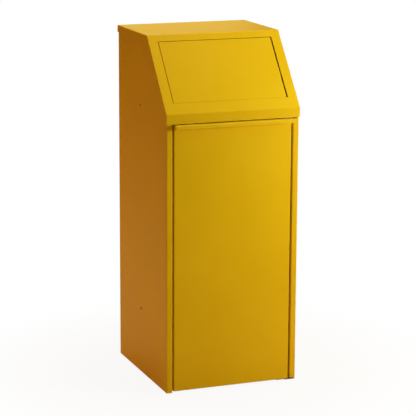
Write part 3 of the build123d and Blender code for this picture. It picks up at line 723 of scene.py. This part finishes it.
fixed = wire_along(coil_path + leg_path(
    coil_last, [(0.35, off), (0.75, over), (1.3, near), (2.0, down), (2.6, leg_deep)], -6 * wire))
moving = wire_along(leg_path(
    coil_first, [(0.05, -rod_deep + coil), (-0.4, off), (-0.8, over), (-1.35, near), (-2.0, down),
                 (-2.6, leg_deep)], -rod_drop - 36 * mm))
for piece, leg, hand in ((fixed, moving, "right"), (mirrored(fixed), mirrored(moving), "left")):
    finished(piece, "spring_coil_" + hand, spring_steel, "housing",
             ["flap_spring_" + hand], edge=0)
    finished(leg, "spring_leg_" + hand, spring_steel, "flap", [], edge=0)

# ---- Flap bumpers ----
# Two black rubber pads are stuck behind the sill. The flap's tongue closes against them, so that
# it comes to rest without a bang.
rubber = surfaced("black_rubber", (0.014, 0.014, 0.014), (0.03, 0.03, 0.03), (0.7, 0.85), 0.04 * mm,
                  ripple=1500.0, grain=5000.0, cloud=120.0)
pad_thick = joggle - sheet - 0.2 * mm
pad_half, pad_at = 12 * mm, flap_half * 0.7
pads, other_pad = [
    block((x - pad_half, x + pad_half), (-flap_end - tongue + sheet, -opening_bottom - sheet),
          (-sheet - pad_thick, -sheet), on_slope) for x in (-pad_at, pad_at)]
worked(pads, "UNION", [other_pad])
finished(pads, "bumper_pads", rubber, "housing", ["flap_bumpers"], edge=0.4 * mm, steps=3)

# ---- Door ----
# The door is one folded sheet. Its top is turned out and down as a finger lip over its full width,
# its sides and foot are folded in, and a top-hat channel is welded down the middle of the inside.
door_low, door_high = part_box("door_panel")
door_half, door_foot, door_top = door_high.x, door_low.z, door_high.z + 1 * mm
door_fold, lip_out, lip_tall, lip_lean = 15 * mm, 20 * mm, 11 * mm, 2.5 * mm
door_left = -door_half - 1.2 * mm
door = bar(folded([
    (door_left + half, front + door_fold), (door_left + half, front + half),
    (door_half - half, front + half), (door_half - half, front + door_fold)]),
    "z", door_foot, door_top - bend - half)
worked(door, "UNION", [
    bar(folded([(front + half, door_top - 3 * bend), (front + half, door_top - half),
                (front - lip_out + half + lip_lean, door_top - half),
                (front - lip_out + half, door_top - lip_tall)]), "x", door_left, door_half),
    bar(folded([(front + half, door_foot + 3 * bend), (front + half, door_foot + half),
                (front + door_fold, door_foot + half)]), "x", door_left + sheet, door_half - sheet)])
finished(door, "door_skin", yellow_coat, "door", ["door_panel"], edge=0.35 * mm)
stiff_low, stiff_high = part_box("door_stiffener")
hat, hat_deep, hat_face = 25 * mm, 12 * mm, front + 1.5 * sheet
hat_section = folded([
    (-hat * 1.6, hat_face), (-hat, hat_face), (-hat, hat_face + hat_deep), (hat, hat_face + hat_deep),
    (hat, hat_face), (hat * 1.6, hat_face)])
finished(bar(hat_section, "z", stiff_low.z, stiff_high.z), "door_channel", yellow_coat, "door",
         ["door_stiffener"])

# ---- Door pivots ----
# Flat steel arms at the door's right corners reach round the post to pins on one upright line.
# The upper pin turns in a nylon bush in a bracket inside the post; the lower arm turns on a pin
# riveted in its own bracket, over a nylon washer.
dark_zinc = surfaced("dark_zinc_steel", (0.10, 0.10, 0.105), (0.19, 0.185, 0.17), (0.34, 0.5), 0.01 * mm,
                     ripple=700.0, grain=3000.0, cloud=110.0, Metallic=0.85)
black_nylon = surfaced("black_nylon", (0.016, 0.016, 0.017), (0.028, 0.028, 0.03), (0.42, 0.58), 0.02 * mm,
                       ripple=1000.0, grain=3500.0, cloud=80.0)
pin = 2.5 * mm
arm_thick = 2 * mm
arm_root = door_half - sheet - bend
arm_plate = 34 * mm
top_arm = arm_high.z - arm_thick
low_arm = door_foot - arm_thick


def on_pin(low, high, radius, sides=32):
    return round_bar((pin_x, pin_y, low), (pin_x, pin_y, high), radius, sides)


def arm_at(z):
    """An arm: its welded plate, a neck and a rounded eye."""
    neck = block((arm_root - sheet, pin_x), (pin_y - pin, pin_y + pin), (z, z + arm_thick))
    tab = block((arm_root - arm_plate, arm_root), (front + sheet, front + door_fold), (z, z + arm_thick))
    return worked(tab, "UNION", [neck, on_pin(z, z + arm_thick, eye, 40)])


upper = arm_at(top_arm)
worked(upper, "UNION", [block((arm_root - arm_plate, arm_root), (front + sheet, front + sheet + arm_thick),
                              (arm_low.z, top_arm + arm_thick))])
worked(upper, "DIFFERENCE", [on_pin(top_arm - sheet, top_arm + 3 * arm_thick, pin + pressed)])
finished(upper, "upper_arm", dark_zinc, "door", ["top_pivot_arm"])
lower = arm_at(low_arm)
worked(lower, "DIFFERENCE", [on_pin(low_arm - sheet, low_arm + 3 * arm_thick, pin + turning)])
finished(lower, "lower_arm", dark_zinc, "door", ["bottom_pivot_arm"])
pin_low, pin_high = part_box("top_pivot_pin")
finished(on_pin(pin_low.z, pin_high.z, pin), "upper_pin", zinc, "door",
         ["top_pivot_pin"], edge=0.35 * mm)


def holder_at(low, high, thick):
    """A pin's bracket: a shelf round the pin and a leg welded inside the side panel."""
    leg = block((inside - bracket_sheet, inside), (low.y, high.y), (low.z, high.z))
    return worked(block((low.x, high.x), (low.y, high.y), (low.z, low.z + thick)), "UNION", [leg])


holder_low, holder_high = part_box("top_pivot_bracket")
holder = holder_at(holder_low, holder_high, bracket_sheet)
worked(holder, "DIFFERENCE", [on_pin(holder_low.z - sheet, holder_low.z + 4 * sheet, pin + 1.02 * mm)])
finished(holder, "upper_holder", yellow_coat, "housing", ["top_pivot_bracket"])
bush_low, bush_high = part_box("top_pivot_bush")
pivot_bush = on_pin(holder_low.z, bush_high.z, pin + 1 * mm, 40)
worked(pivot_bush, "UNION", [on_pin(bush_low.z, holder_low.z, eye - 0.2 * mm, 40)])
worked(pivot_bush, "DIFFERENCE", [on_pin(bush_low.z - sheet, bush_high.z + sheet, pin + turning, 40)])
finished(pivot_bush, "upper_bush", white_nylon, "housing", ["top_pivot_bush"], edge=0.15 * mm)
shelf_low, shelf_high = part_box("bottom_pivot_bracket")
shelf = holder_at(shelf_low, shelf_high, sheet)
worked(shelf, "DIFFERENCE", [on_pin(shelf_low.z - sheet, shelf_low.z + 3 * sheet, pin + pressed)])
finished(shelf, "lower_holder", dark_zinc, "housing", ["bottom_pivot_bracket"])
stub_low, stub_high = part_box("bottom_pivot_pin")
finished(on_pin(stub_low.z, stub_high.z, pin), "lower_pin", dark_zinc, "housing",
         ["bottom_pivot_pin"], edge=0.35 * mm)
washer_low, washer_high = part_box("thrust_washer")
thrust = on_pin(washer_low.z, washer_high.z, eye - 0.2 * mm, 40)
worked(thrust, "DIFFERENCE", [on_pin(washer_low.z - sheet, washer_high.z + sheet, pin + turning, 40)])
finished(thrust, "lower_washer", black_nylon, "housing", ["thrust_washer"], edge=0.08 * mm)

# ---- Magnetic catch ----
# A moulded black case is screwed up into the header rail at the door's free corner. It holds a
# ferrite magnet between two pole plates, which pull on a steel keeper inside the door.
case_low, case_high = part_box("magnet_case")
pole_low, pole_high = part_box("pole_plates")
case = block(*zip(case_low, case_high))
worked(case, "DIFFERENCE", [
    block((pole_low.x, pole_high.x), (case_low.y - sheet, pole_high.y), (pole_low.z, pole_high.z))] + [
    round_bar((x, screw_y, case_low.z - sheet), (x, screw_y, case_high.z + sheet),
              screw_radius + pressed, 20)
    for x in screw_xs])
finished(case, "catch_case", black_nylon, "housing", ["magnet_case"], edge=0.5 * mm, steps=3)
ferrite = surfaced("ferrite", (0.035, 0.034, 0.036), (0.06, 0.058, 0.06), (0.5, 0.65), 0.03 * mm,
                   ripple=1800.0, grain=6000.0, cloud=300.0)
finished(block(*zip(*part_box("magnet"))), "catch_magnet", ferrite, "housing", ["magnet"],
         edge=0.25 * mm)
pole = block((pole_low.x, pole_high.x), (pole_low.y, pole_high.y), (0, sheet))
poles = set_out(pole, (0, 0, pole_low.z), (0, 0, pole_high.z - pole_low.z - sheet), 2, (0, 0, 0), 1, zinc)
finished(poles, "catch_poles", zinc, "housing", ["pole_plates"], edge=0.15 * mm)
finished(block(*zip(*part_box("keeper_plate"))), "keeper", zinc, "door", ["keeper_plate"])
head, screw_long = 1.8 * mm, screw_high.z - screw_low.z
screw = lathed([
    (0, 0.2 * mm), (1.6 * mm, 0), (2.4 * mm, 0.2 * mm), (2.85 * mm, 0.7 * mm), (3.0 * mm, 1.3 * mm),
    (3.0 * mm, head), (screw_radius, head), (screw_radius, screw_long - 0.3 * mm),
    (screw_radius * 0.8, screw_long), (0, screw_long)], 28)
cross_long, cross_wide, cross_deep = (-1.9 * mm, 1.9 * mm), (-0.32 * mm, 0.32 * mm), (-1 * mm, 0.9 * mm)
worked(screw, "DIFFERENCE", [block(cross_long, cross_wide, cross_deep),
                             block(cross_wide, cross_long, cross_deep)])
screws = set_out(screw, (screw_xs[0], screw_y, screw_low.z), (screw_xs[1] - screw_xs[0], 0, 0), 2,
                 (0, 0, 0), 1, zinc, turn_axis=(0, 0, 1), seed=11)
finished(screws, "case_screws", zinc, "housing", ["catch_screws"], edge=0)

# ---- Inner container ----
# The loose liner is folded from 1 mm galvanised sheet with rounded corners. Its top edge is rolled
# outwards as a stiff bead, and each end has a long hand hole.
liner_low, liner_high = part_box("inner_container")
liner_sheet, liner_bead, liner_corner = 1 * mm, 4 * mm, 12 * mm


def ring(inset, radius, z, steps=8):
    """A rounded rectangle at one height, inset from the liner's body."""
    half_x = liner_high.x - liner_bead - inset
    mid_y = (liner_low.y + liner_high.y) / 2
    half_y = (liner_high.y - liner_low.y) / 2 - liner_bead - inset
    points = []
    for quarter, (sx, sy) in enumerate(((1, 1), (-1, 1), (-1, -1), (1, -1))):
        for i in range(steps + 1):
            angle = math.pi / 2 * (quarter + i / steps)
            points.append((sx * (half_x - radius) + radius * math.cos(angle),
                           mid_y + sy * (half_y - radius) + radius * math.sin(angle), z))
    return points


def inner(by, z):
    """A ring inset from the liner's body by some distance, keeping its corners even."""
    return ring(by, liner_corner - by, z)


bead_round, bead_steps = 2.1 * mm, 12
layers = [inner(8 * mm, liner_low.z), inner(2 * mm, liner_low.z), inner(0.6 * mm, liner_low.z + 0.6 * mm),
          inner(0, liner_low.z + 2 * mm), inner(0, liner_high.z - 8 * mm)]
for i in range(bead_steps + 1):
    angle = math.radians(-90 + 240 * i / bead_steps)
    out_by, up_by = 1.9 * mm + bead_round * math.cos(angle), bead_round * math.sin(angle)
    layers.append(inner(-out_by, liner_high.z - bead_round + up_by))
layers += [inner(liner_sheet, liner_high.z - 3 * mm), inner(liner_sheet, liner_low.z + 2.5 * mm),
           inner(liner_sheet + 0.6 * mm, liner_low.z + liner_sheet + 0.6 * mm),
           inner(liner_sheet + 2 * mm, liner_low.z + liner_sheet),
           inner(liner_sheet + 8 * mm, liner_low.z + liner_sheet)]
count = len(layers[0])
walls = [tuple(reversed(range(count))), tuple(range(count * (len(layers) - 1), count * len(layers)))]
for lower_ring in range(len(layers) - 1):
    for i in range(count):
        a, b = lower_ring * count + i, lower_ring * count + (i + 1) % count
        walls.append((a, b, b + count, a + count))
liner = solid([p for layer in layers for p in layer], walls)
hole_y, hole_z = (liner_low.y + liner_high.y) / 2, liner_high.z - 60 * mm
hole_round = 16 * mm
hole_run = 55 * mm - hole_round
hand_hole = []
for sign in (1, -1):
    for i in range(17):
        angle = math.pi * i / 16 - math.pi / 2 + (0 if sign > 0 else math.pi)
        hand_hole.append((hole_y + sign * hole_run + hole_round * math.cos(angle),
                          hole_z + hole_round * math.sin(angle)))
worked(liner, "DIFFERENCE", [plate(hand_hole, "x", -liner_high.x - sheet, liner_high.x + sheet)])


def galvanised():
    """Hot-dip zinc: flat crystals of slightly different grey and gloss, with fine streaks."""
    made = bpy.data.materials.new("galvanised_steel")
    made.use_nodes = True
    tree = made.node_tree
    join = tree.links.new
    face = tree.nodes["Principled BSDF"]
    face.inputs["Metallic"].default_value = 0.9
    where = node(tree, "ShaderNodeTexCoord")
    bent_grain = node(tree, "ShaderNodeTexNoise", Scale=45.0, Detail=3.0)
    warp = node(tree, "ShaderNodeMix", data_type="VECTOR")
    warp.inputs[0].default_value = 0.012
    crystals = node(tree, "ShaderNodeTexVoronoi", Scale=95.0, feature="F1")
    grey = node(tree, "ShaderNodeSeparateColor")
    tones = node(tree, "ShaderNodeValToRGB")
    tones.color_ramp.elements[0].color = (0.40, 0.44, 0.50, 1)
    tones.color_ramp.elements[1].color = (0.64, 0.69, 0.76, 1)
    rough = node(tree, "ShaderNodeMapRange", To_Min=0.28, To_Max=0.5)
    look = node(tree, "ShaderNodeGroup", node_tree=skin)
    bump = node(tree, "ShaderNodeBump", Strength=1.0, Distance=0.015 * mm)
    join(where.outputs["Object"], bent_grain.inputs["Vector"])
    join(where.outputs["Object"], warp.inputs[4])
    join(bent_grain.outputs["Color"], warp.inputs[5])
    join(warp.outputs[1], crystals.inputs["Vector"])
    join(crystals.outputs["Color"], grey.inputs["Color"])
    join(grey.outputs["Red"], tones.inputs["Fac"])
    join(tones.outputs["Color"], face.inputs["Base Color"])
    join(grey.outputs["Green"], rough.inputs["Value"])
    join(rough.outputs["Result"], face.inputs["Roughness"])
    join(look.outputs["Height"], bump.inputs["Height"])
    join(bump.outputs["Normal"], face.inputs["Normal"])
    return made


finished(liner, "liner", galvanised(), "housing", ["inner_container"], edge=0.15 * mm)

# ---- Floor ----
# A plain white studio floor, with a soft shadow close to the bin that fades into the background.
far = 30
floor = solid([(-far, -far, 0), (far, -far, 0), (far, far, 0), (-far, far, 0)], [(0, 1, 2, 3)])
floor.name = "floor"
floor_paint = bpy.data.materials.new("studio_floor")
floor_paint.use_nodes = True
tree = floor_paint.node_tree
join = tree.links.new
face = tree.nodes["Principled BSDF"]
face.inputs["Base Color"].default_value = (0.78, 0.66, 0.5, 1)
face.inputs["Roughness"].default_value = 0.9
face.inputs["Specular IOR Level"].default_value = 0.1
glow = node(tree, "ShaderNodeEmission", Color=(1, 1, 1, 1), Strength=1.0)
where = node(tree, "ShaderNodeTexCoord")
reach = node(tree, "ShaderNodeVectorMath", operation="LENGTH")
fade = node(tree, "ShaderNodeMapRange", From_Min=0.3, From_Max=0.85, To_Min=0.92,
            interpolation_type="SMOOTHSTEP")
ray = node(tree, "ShaderNodeLightPath")
seen = node(tree, "ShaderNodeMath", operation="MULTIPLY")
blend = node(tree, "ShaderNodeMixShader")
join(where.outputs["Object"], reach.inputs[0])
join(reach.outputs["Value"], fade.inputs["Value"])
join(fade.outputs["Result"], seen.inputs[0])
join(ray.outputs["Is Camera Ray"], seen.inputs[1])
join(seen.outputs["Value"], blend.inputs["Fac"])
join(face.outputs["BSDF"], blend.inputs[1])
join(glow.outputs["Emission"], blend.inputs[2])
join(blend.outputs["Shader"], tree.nodes["Material Output"].inputs["Surface"])
floor.data.materials.append(floor_paint)

# ---- Light ----
# A white background, one broad soft lamp overhead, smaller lamps close on the right of the front,
# and weaker, warmer lamps behind and low on the left so that the shaded sides keep their colour.
world = bpy.data.worlds.new("studio")
scene.world = world
world.use_nodes = True
tree = world.node_tree
join = tree.links.new
tree.nodes.clear()
dim = node(tree, "ShaderNodeBackground", Color=(1.0, 0.47, 0.25, 1), Strength=0.10)
white = node(tree, "ShaderNodeBackground", Color=(1, 1, 1, 1), Strength=1.0)
ray = node(tree, "ShaderNodeLightPath")
blend = node(tree, "ShaderNodeMixShader")
out = node(tree, "ShaderNodeOutputWorld")
join(ray.outputs["Is Camera Ray"], blend.inputs["Fac"])
join(dim.outputs["Background"], blend.inputs[1])
join(white.outputs["Background"], blend.inputs[2])
join(blend.outputs["Shader"], out.inputs["Surface"])


def lamp(name, at, towards, size, power, colour):
    """A square soft lamp aimed at a point: sizes in metres, power in watts."""
    data = bpy.data.lights.new(name, "AREA")
    data.shape, data.size, data.energy, data.color = "SQUARE", size, power, colour
    made = bpy.data.objects.new(name, data)
    scene.collection.objects.link(made)
    made.location = at
    made.rotation_mode = "QUATERNION"
    made.rotation_quaternion = (Vector(towards) - Vector(at)).to_track_quat("-Z", "Y")


lamp("overhead", (0.2, 0.4, 3.2), (0, 0, 1.0), 1.8, 51, (1.0, 0.92, 0.6))
lamp("high right", (0.75, -1.0, 1.9), (0, -0.2, 0.8), 0.5, 2.2, (1.0, 1.0, 0.8))
lamp("near right", (0.95, -0.85, 0.9), (0, -0.2, 0.76), 0.2, 12.2, (0.8, 1.0, 0.8))
lamp("low right", (1.45, -0.8, 0.6), (0, -0.2, 0.6), 0.7, 5.5, (1.0, 0.3, 0.2))
lamp("rear", (0.6, 3.6, 1.8), (0, 0, 0.6), 2.0, 9, (1.0, 0.95, 0.42))
lamp("low left", (-1.8, 0.5, 0.2), (-0.2, 0.2, 0.4), 0.8, 9.3, (1.0, 0.5, 0.25))
